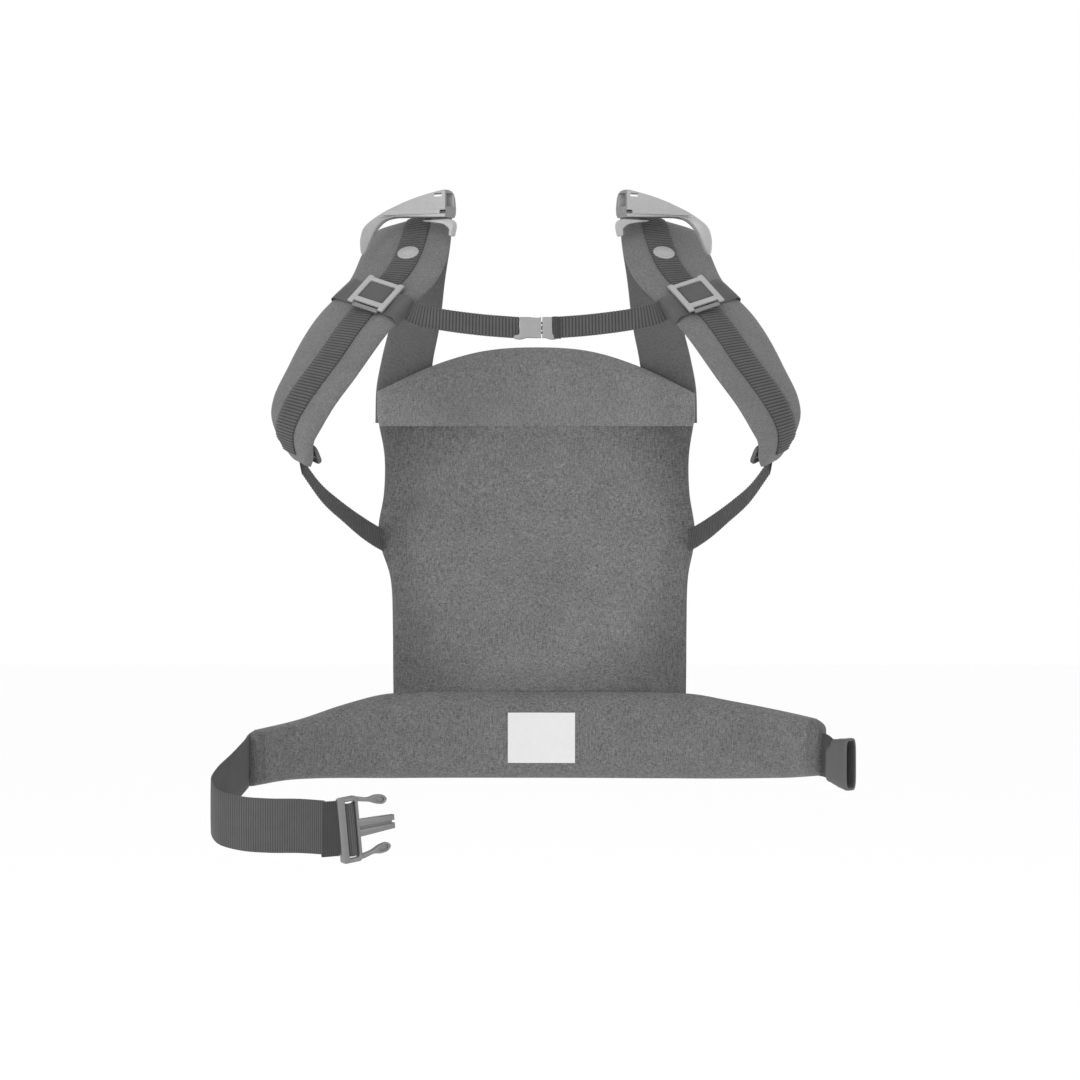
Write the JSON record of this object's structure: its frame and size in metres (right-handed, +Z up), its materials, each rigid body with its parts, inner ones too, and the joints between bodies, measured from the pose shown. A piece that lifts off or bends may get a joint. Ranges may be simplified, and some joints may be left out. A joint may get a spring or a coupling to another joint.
{
  "type": "soft baby carrier",
  "caption": "Soft front baby carrier: padded body panel with seat pouch, folding headrest, curved waist belt with side-release buckle, padded shoulder straps joined by a sliding chest strap.",
  "frame": {"origin": "midway between the two shoulder arches, where the carrier rests on the wearer's shoulders", "axes": "+Z up; +Y the way the wearer faces, from the shoulder straps on the back towards the body panel on the chest; +X to the wearer's right"},
  "size_m": [0.6045, 0.2766, 0.6335],
  "materials": {
    "body_cloth": "heather grey woven cloth, matt",
    "crown_cloth": "lighter, finer heather cloth, matt",
    "dark_cloth": "plain charcoal cloth, matt",
    "foam": "open-cell padding inside the covers",
    "ribbed_webbing": "ribbed charcoal webbing",
    "smooth_webbing": "fine-ribbed charcoal webbing",
    "label_cloth": "plain white woven label",
    "light_plastic": "light grey moulded plastic, satin",
    "grey_plastic": "mid grey moulded plastic, satin",
    "dark_plastic": "dark grey moulded plastic"
  },
  "bodies": {
    "panel": {"panel_inner_cover": "body_cloth", "panel_padding": "foam", "panel_outer_cover": "body_cloth", "riser_left": "dark_cloth", "riser_right": "dark_cloth"},
    "headrest": {"headrest_inner_cover": "crown_cloth", "headrest_padding": "foam", "headrest_outer_cover": "crown_cloth"},
    "harness": {"strap_outer_cover_left": "crown_cloth", "strap_outer_cover_right": "crown_cloth", "strap_padding_left": "foam", "strap_padding_right": "foam", "strap_inner_cover_left": "dark_cloth", "strap_inner_cover_right": "dark_cloth", "rail_webbing_left": "ribbed_webbing", "rail_webbing_right": "ribbed_webbing", "badge_left": "light_plastic", "badge_right": "light_plastic", "shoulder_arch_left": "light_plastic", "shoulder_arch_right": "light_plastic", "arch_lip_left": "light_plastic", "arch_lip_right": "light_plastic", "lower_webbing_left": "ribbed_webbing", "lower_webbing_right": "ribbed_webbing", "strap_adjuster_left": "dark_plastic", "strap_adjuster_right": "dark_plastic"},
    "chest_strap": {"chest_webbing_left": "ribbed_webbing", "chest_webbing_right": "ribbed_webbing", "chest_buckle_socket": "light_plastic", "chest_buckle_plug": "light_plastic"},
    "chest_slider_left": {"slider_left": "light_plastic", "keeper_band_left": "smooth_webbing"},
    "chest_slider_right": {"slider_right": "light_plastic", "keeper_band_right": "smooth_webbing"},
    "chest_prong_upper": {"chest_prong_upper": "light_plastic"},
    "chest_prong_lower": {"chest_prong_lower": "light_plastic"},
    "belt": {"belt_inner_cover": "body_cloth", "belt_padding": "foam", "belt_outer_cover": "body_cloth", "belt_end_left": "dark_cloth", "belt_end_right": "dark_cloth", "care_label": "label_cloth", "socket_webbing": "smooth_webbing"},
    "waist_webbing": {"waist_webbing": "smooth_webbing"},
    "waist_plug": {"waist_buckle_plug": "grey_plastic", "webbing_keeper": "smooth_webbing", "webbing_fold": "smooth_webbing"},
    "waist_prong_upper": {"waist_prong_upper": "grey_plastic"},
    "waist_prong_lower": {"waist_prong_lower": "grey_plastic"},
    "waist_socket": {"waist_buckle_socket": "dark_plastic"}
  },
  "joints": [
    {"name": "headrest_fold", "type": "hinge", "parent": "panel", "child": "headrest", "pos_m": [0, 0.112, -0.1962], "axis": [1, 0, 0], "range_deg": [0, 100]},
    {"name": "harness_swing", "type": "hinge", "parent": "panel", "child": "harness", "pos_m": [0, 0.023, -0.002], "axis": [1, 0, 0], "range_deg": [-15, 12]},
    {"name": "chest_height", "type": "slide", "parent": "harness", "child": "chest_strap", "axis": [0, 0.5762, 0.8173], "range_m": [-0.018, 0.006]},
    {"name": "slider_left_spread", "type": "slide", "parent": "chest_strap", "child": "chest_slider_left", "axis": [1, 0, 0], "range_m": [-0.0105, 0.0036]},
    {"name": "slider_right_spread", "type": "slide", "parent": "chest_strap", "child": "chest_slider_right", "axis": [1, 0, 0], "range_m": [-0.0036, 0.0105]},
    {"name": "chest_prong_upper_squeeze", "type": "hinge", "parent": "chest_strap", "child": "chest_prong_upper", "pos_m": [0.005, -0.082, -0.1114], "axis": [0, 1, 0], "range_deg": [-6, 0], "stiffness_Nm_per_rad": 0.05},
    {"name": "chest_prong_lower_squeeze", "type": "hinge", "parent": "chest_strap", "child": "chest_prong_lower", "pos_m": [0.005, -0.082, -0.1206], "axis": [0, 1, 0], "range_deg": [0, 6], "stiffness_Nm_per_rad": 0.05},
    {"name": "belt_fold", "type": "hinge", "parent": "panel", "child": "belt", "pos_m": [0, 0.1, -0.4655], "axis": [1, 0, 0], "range_deg": [-30, 0]},
    {"name": "webbing_swing", "type": "hinge", "parent": "belt", "child": "waist_webbing", "pos_m": [-0.2732, -0.0062, -0.5275], "axis": [0, 0, 1], "range_deg": [-30, 20]},
    {"name": "plug_pivot", "type": "hinge", "parent": "waist_webbing", "child": "waist_plug", "pos_m": [-0.1947, -0.0892, -0.5855], "axis": [0, 0, 1], "range_deg": [-12, 30]},
    {"name": "waist_prong_upper_squeeze", "type": "hinge", "parent": "waist_plug", "child": "waist_prong_upper", "pos_m": [-0.1664, -0.0684, -0.5547], "axis": [-0.5878, 0.809, 0], "range_deg": [0, 7], "stiffness_Nm_per_rad": 0.1},
    {"name": "waist_prong_lower_squeeze", "type": "hinge", "parent": "waist_plug", "child": "waist_prong_lower", "pos_m": [-0.1619, -0.0652, -0.6085], "axis": [-0.5878, 0.809, 0], "range_deg": [-7, 0], "stiffness_Nm_per_rad": 0.1},
    {"name": "socket_pivot", "type": "hinge", "parent": "belt", "child": "waist_socket", "pos_m": [0.2752, -0.009, -0.5256], "axis": [0, 0, 1], "range_deg": [-30, 30]}
  ],
  "couplings": [
    {"joint": "slider_left_spread", "follows": "chest_height", "ratio": 0.576},
    {"joint": "slider_right_spread", "follows": "chest_height", "ratio": -0.576},
    {"joint": "chest_prong_lower_squeeze", "follows": "chest_prong_upper_squeeze", "ratio": -1},
    {"joint": "waist_prong_lower_squeeze", "follows": "waist_prong_upper_squeeze", "ratio": -1}
  ]
}
